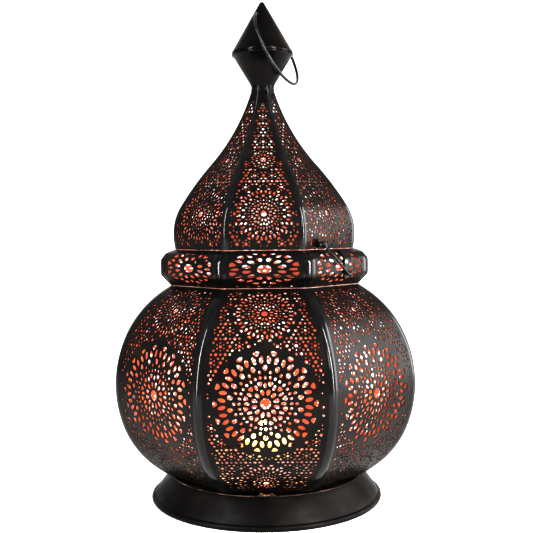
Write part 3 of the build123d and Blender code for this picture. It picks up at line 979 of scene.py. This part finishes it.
# =====================================================================
# Foot, finial, ring
# =====================================================================
def arc(centre, radius, start, end, steps):
    """Points of a circular arc in a side view, angles in degrees."""
    angles = np.radians(np.linspace(start, end, steps))
    return [(centre[0] + radius * math.cos(a), centre[1] + radius * math.sin(a)) for a in angles]


def raised(points, height):
    """A side view of (radius, rise) points stood on a height."""
    return [(radius, height + rise) for radius, rise in points]


foot_profile = [
    (FOOT_INNER_RADIUS, FOOT_TOP - FOOT_BEND),
    (FOOT_INNER_RADIUS, FOOT_TOP),
    (FOOT_TOP_RADIUS, FOOT_TOP),
]
foot_profile += arc((FOOT_TOP_RADIUS, FOOT_TOP - FOOT_BEND), FOOT_BEND, 90, 40, 5)
foot_profile += [(72.6, 16.4), (76.5, 11.5), (80.0, 7.0), (81.6, 4.6)]
foot_profile += arc(HEM_CENTRE, HEM_RADIUS, 100, -64.8, 22)
foot_profile += arc(HEM_CENTRE, HEM_RADIUS, -115.2, -200, 12)
foot_profile += [(80.9, 3.6), (79.3, 6.4), (75.8, 11.0), (71.9, 15.9), (69.4, 19.0), (69.0, 19.2)]
foot = lathe("base_foot_spun", foot_profile, [FOOT], steps=160)
sharpen(foot, 40)
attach(foot, "lantern_body")
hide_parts("base_foot", "foot_plate")

scrape_path = []
for angle in np.linspace(0, 2 * math.pi, 160, endpoint=False):
    scrape_path.append((SCRAPE_RADIUS * math.cos(angle), SCRAPE_RADIUS * math.sin(angle), SCRAPE_HEIGHT))
foot_scrape = tube("base_foot_bare_line", scrape_path, SCRAPE_WIDTH / 2, SCRAPED, closed=True, sides=8)
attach(foot_scrape, "lantern_body")

lower_outside = [(6.8, 0), (8.1, 0), (8.2, 1.1), (8.7, 2.7), (9.4, 4.1), (15.2, 13.5), (20.9, 23.1)]
lower_inside = [(20.6, 25.1), (14.0, 13.7), (8.4, 4.3), (7.1, 2.4)]
lower_profile = raised(lower_outside, FINIAL_FOOT)
lower_profile += arc((FINIAL_RADIUS - 0.9, FINIAL_RIM - 0.9), 1.0, -35, 60, 8)
lower_profile += raised(lower_inside, FINIAL_FOOT)
lower_cone = lathe("finial_lower_cone_spun", lower_profile, [GLOSS], steps=96)
sharpen(lower_cone, 40)
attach(lower_cone, "lid")
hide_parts("finial_lower_cone")


def upper_cone():
    """The pointed cap, with the two holes that the ring passes through."""
    hem = [(21.4, 0), (22.1, 0.1), (FINIAL_RADIUS, 0.6), (22.15, 1.2), (21.7, 2.0)]
    profile = raised(hem + [(14.9, 13.8), (8.1, 25.5)], FINIAL_RIM)
    profile += arc(TIP_CENTRE, TIP_RADIUS, 30, 90, 8)
    profile += raised([(0, 35.2), (7.0, 24.3), (14.0, 12.7), (20.9, 1.0)], FINIAL_RIM)
    cone = lathe("finial_upper_cone_spun", profile, [GLOSS], steps=96)
    cut_path = [tuple(ring_axis * t + ring_pivot) for t in (-14, 14)]
    cut = tube("ring_hole_cutter", cut_path, RING_HOLE_RADIUS, GLOSS, sides=32)
    modifier = cone.modifiers.new("holes", "BOOLEAN")
    modifier.object = cut
    modifier.solver = "EXACT"
    bpy.context.view_layer.objects.active = cone
    bpy.ops.object.modifier_apply(modifier="holes")
    bpy.data.objects.remove(cut)
    sharpen(cone, 40)
    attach(cone, "lid")
    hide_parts("finial_upper_cone")


joints = {joint["name"]: joint for joint in frame["joints"]}
ring_axis = Vector(joints["ring_swing"]["axis"]).normalized()
ring_pivot = Vector(joints["ring_swing"]["pos_m"]) / MM
upper_cone()

ring_away = Vector((-ring_axis.y, ring_axis.x, 0))
ring_down = ring_away * math.sin(RING_HANG) + Vector((0, 0, -math.cos(RING_HANG)))
ring_centre = ring_pivot + ring_down * math.sqrt(RING_RADIUS**2 - RING_HALF_SPAN**2)
ring_path, ring_radii = [], []
for k in range(160):
    angle = 2 * math.pi * k / 160
    spoke = ring_axis * math.cos(angle) + ring_down * math.sin(angle)
    ring_path.append(tuple(ring_centre + RING_RADIUS * spoke))
    off_weld = (angle - RING_WELD_ANGLE) / RING_WELD_SPREAD
    ring_radii.append(RING_WIRE_RADIUS + RING_WELD_SWELL * math.exp(-(off_weld**2)))
ring = tube("ring_handle_wire", ring_path, np.array(ring_radii), WIRE, closed=True, sides=16)
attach(ring, "ring")
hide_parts("ring_handle")


# =====================================================================
# Tealight and flame
# =====================================================================
def tealight():
    """Melting wax with a pool round the wick, the burnt wick, and the flame leaning to one side."""
    top = CANDLE_TOP
    profile = [(0.0, CANDLE_BOTTOM), (CANDLE_RADIUS - 0.6, CANDLE_BOTTOM)]
    profile += raised([(CANDLE_RADIUS - 0.1, 0.4), (CANDLE_RADIUS, 1.2)], CANDLE_BASE)
    profile += [(CANDLE_RADIUS, top - CANDLE_LIP)]
    profile += arc((CANDLE_RADIUS - CANDLE_LIP, top - CANDLE_LIP), CANDLE_LIP, 0, 100, 7)
    pool = [(16.4, -0.5), (15.0, -1.5), (12.0, -1.9), (5.0, -1.95), (1.2, -1.4), (0, -1.3)]
    profile += raised(pool, top)
    wax = lathe("tealight_wax_melting", profile, [PAINTED_GLOW_WAX], steps=96)
    sharpen(wax, 50)
    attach(wax, "tealight")
    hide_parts("tealight_wax")
    wick_path = [(0, 0, top - 6.3), (0, 0, top - 1.3), (-0.1, 0, top + 1.2)]
    wick_path += [(-0.35, -0.1, top + 3.2), (-0.8, -0.2, top + 4.9), (-1.3, -0.3, top + 5.9)]
    wick_radii = np.array([0.72, 0.72, 0.7, 0.66, 0.6, 0.42])
    wick = tube("tealight_wick_burnt", wick_path, wick_radii, WICK, sides=10)
    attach(wick, "tealight")
    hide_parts("tealight_wick")
    flame_profile = []
    for k in range(25):
        share = k / 24
        swell = max(math.sin(math.pi * share**0.62), 0.0) ** 0.9
        radius = FLAME_RADIUS * swell * (1 - 0.35 * share)
        flame_profile.append((radius, FLAME_BASE + FLAME_HEIGHT * share))
    flame_profile[0] = (0.0, FLAME_BASE)
    flame_profile[-1] = (0.0, FLAME_BASE + FLAME_HEIGHT)
    flame = lathe("tealight_flame", flame_profile, [FLAME], steps=32)
    for vertex in flame.data.vertices:
        rise = vertex.co.z / MM - FLAME_BASE
        vertex.co.x -= (FLAME_SHIFT + FLAME_LEAN * rise) * MM
    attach(flame, "tealight")
    flame.visible_shadow = False


tealight()


# =====================================================================
# CAD pieces that keep their shape
# =====================================================================
def dress(node, material):
    """Gives a CAD node its material."""
    obj = frame["nodes"][node]
    obj.data.materials.clear()
    obj.data.materials.append(material)


for node in ("floor_plate", "candle_cup"):
    dress(node, ZINC)
dress("lid_rim_band", EMBER)
for node in ("neck_plug", "hinge_collar_leaf", "hinge_lid_leaf", "latch_bracket", "latch_keeper"):
    dress(node, ENAMEL)
for node in ("hinge_pin", "latch_pin", "rim_wire", "wick_tab"):
    dress(node, STEEL)
for node in ("hinge_collar_rivets", "hinge_lid_rivets", "latch_keeper_rivet"):
    dress(node, STEEL)
dress("latch_hook", WIRE)


# =====================================================================
# Stage: floor with a swept-up back, lights and camera
# =====================================================================
def build_stage():
    """A pale floor that sweeps up behind the lantern, in metres."""
    back, sweep_radius, sweep_steps = 1.2, 1.2, 12
    half_width, front, wall_top = 4.0, -2.5, 3.5
    points = [(front, 0.0), (-1.0, 0.0), (0.0, 0.0), (back, 0.0)]
    for k in range(1, sweep_steps + 1):
        angle = math.pi / 2 * k / sweep_steps
        rise = sweep_radius - sweep_radius * math.cos(angle)
        points.append((back + sweep_radius * math.sin(angle), rise))
    points.append((back + sweep_radius, wall_top))
    verts, faces = [], []
    for y, z in points:
        verts += [(-half_width, y, z), (half_width, y, z)]
    for k in range(len(points) - 1):
        faces.append((2 * k, 2 * k + 1, 2 * k + 3, 2 * k + 2))
    floor = new_object("floor", np.array(verts) / MM, faces, [pale_floor()])


def area_light(name, place_m, aim_m, size, power):
    """A white rectangular lamp at a place, turned towards its aim."""
    data = bpy.data.lights.new(name, "AREA")
    data.shape = "RECTANGLE"
    data.size, data.size_y = size
    data.energy = power
    lamp = bpy.data.objects.new(name, data)
    lamp.location = place_m
    lamp.rotation_euler = (Vector(aim_m) - Vector(place_m)).to_track_quat("-Z", "Y").to_euler()
    bpy.context.scene.collection.objects.link(lamp)


def build_lights():
    """White surroundings, two tall strips for the folds' highlights, two soft boxes and the candle."""
    world = bpy.data.worlds.new("studio")
    bpy.context.scene.world = world
    world.use_nodes = True
    background = world.node_tree.nodes["Background"]
    background.inputs["Color"].default_value = (1.0, 1.0, 1.0, 1)
    background.inputs["Strength"].default_value = 0.95
    strip_aim, strip_size = (0, 0, 0.4), (0.13, 1.5)
    area_light("left_strip", (-0.85, -0.8, 0.75), strip_aim, strip_size, 54)
    area_light("right_strip", (0.85, -0.8, 0.75), strip_aim, strip_size, 66)
    area_light("front_softbox", (0.36, -1.08, 0.62), (0, 0, 0.15), (0.3, 0.3), 6)
    area_light("right_softbox", (1.25, 0.05, 0.4), (0, 0, 0.17), (0.7, 1.2), 40)
    candle = bpy.data.lights.new("candle_light", "POINT")
    candle.energy = 0.27
    candle.color = (1.0, 0.58, 0.24)
    candle.shadow_soft_size = 0.004
    lamp = bpy.data.objects.new("candle_light", candle)
    lamp.location = (-0.002, 0, (CANDLE_TOP + 17.7) * MM)
    bpy.context.scene.collection.objects.link(lamp)
    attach(lamp, "tealight")


def build_camera():
    """A camera in front of the lantern, looking very slightly down."""
    data = bpy.data.cameras.new("camera")
    data.lens = 59.1
    data.sensor_width = 36.0
    camera = bpy.data.objects.new("camera", data)
    pitch, roll = math.radians(-2.875), math.radians(-0.574)
    look = Matrix.Rotation(math.radians(90) + pitch, 4, "X") @ Matrix.Rotation(roll, 4, "Z")
    camera.matrix_world = Matrix.Translation((0.0015, -0.641, 0.2008)) @ look
    bpy.context.scene.collection.objects.link(camera)
    bpy.context.scene.camera = camera


# A plain display curve with deep blacks
bpy.context.scene.view_settings.view_transform = "Standard"
bpy.context.scene.view_settings.gamma = 0.64
build_stage()
build_lights()
build_camera()
